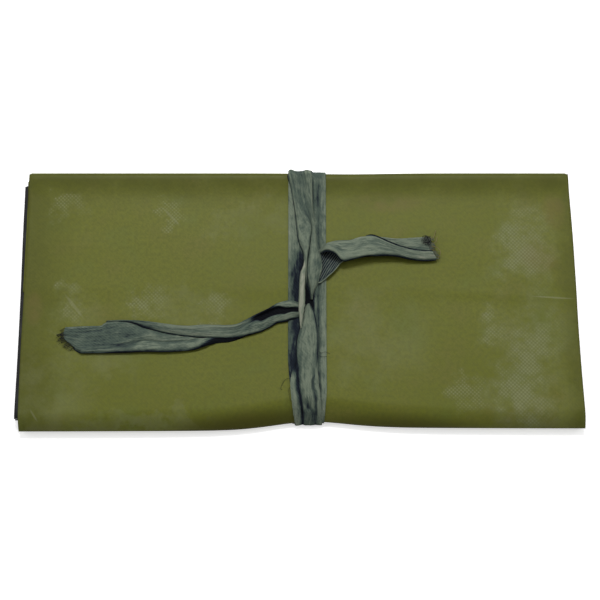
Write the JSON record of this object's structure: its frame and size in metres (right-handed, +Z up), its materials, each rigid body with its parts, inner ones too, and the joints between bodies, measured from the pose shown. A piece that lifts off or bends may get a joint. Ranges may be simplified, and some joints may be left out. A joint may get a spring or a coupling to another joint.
{
  "type": "folded field tourniquet",
  "caption": "Broad field tourniquet folded flat: a zigzag rubber band in an olive coated-fabric wrapper, tied round the middle with cotton tape and a half knot.",
  "frame": {"origin": "centre of the part's box in plan, on the surface that the packet lies on", "axes": "+X along the packet, from the end where the rubber band shows to the other, +Y to the far fold, where the wrapper's free edge is draped, +Z up"},
  "size_m": [0.3676, 0.1798, 0.0189],
  "materials": {
    "coated_cover": "olive drab rubber-coated cotton, satin, with its weave showing through at scuffs",
    "black_rubber": "matt black sheet rubber",
    "cotton_tape": "grey-green cotton twill tape, matt"
  },
  "bodies": {
    "wrapper": {"wrapper_base": "coated_cover", "wrapper_far_fold": "coated_cover", "wrapper_near_fold": "coated_cover", "wrapper_inner_flap": "coated_cover", "outer_flap": "coated_cover"},
    "tie": {"first_turn_top": "cotton_tape", "first_turn_far": "cotton_tape", "first_turn_under": "cotton_tape", "first_turn_near": "cotton_tape", "second_turn_far": "cotton_tape", "second_turn_under": "cotton_tape", "second_turn_near": "cotton_tape", "upper_strand": "cotton_tape", "lower_strand": "cotton_tape", "knot_left_lap": "cotton_tape", "knot_right_lap": "cotton_tape", "left_tail_root": "cotton_tape", "right_tail_root": "cotton_tape"},
    "left_tail": {"left_tail": "cotton_tape"},
    "right_tail": {"right_tail": "cotton_tape"},
    "left_corner": {"outer_flap_left_corner": "coated_cover"},
    "right_corner": {"outer_flap_right_corner": "coated_cover"},
    "band": {"pressure_band": "black_rubber"}
  },
  "joints": [
    {"name": "band_pull_out", "type": "slide", "parent": "wrapper", "child": "band", "axis": [-1, 0, 0], "range_m": [0, 0.37]},
    {"name": "tie_slip_off", "type": "slide", "parent": "wrapper", "child": "tie", "axis": [1, 0, 0], "range_m": [0, 0.36]},
    {"name": "left_tail_lift", "type": "hinge", "parent": "tie", "child": "left_tail", "pos_m": [-0.01925, -0.0176, 0.0149], "axis": [0, 1, 0], "range_deg": [0, 100]},
    {"name": "right_tail_lift", "type": "hinge", "parent": "tie", "child": "right_tail", "pos_m": [0.03175, 0.0249, 0.0149], "axis": [0, -1, 0], "range_deg": [0, 100]},
    {"name": "left_corner_lift", "type": "hinge", "parent": "wrapper", "child": "left_corner", "pos_m": [-0.04425, 0.0874, 0.0131], "axis": [0.847, 0.5317, 0], "range_deg": [0, 75]},
    {"name": "right_corner_lift", "type": "hinge", "parent": "wrapper", "child": "right_corner", "pos_m": [0.08175, 0.0874, 0.0131], "axis": [0.8321, -0.5547, 0], "range_deg": [0, 75]}
  ]
}
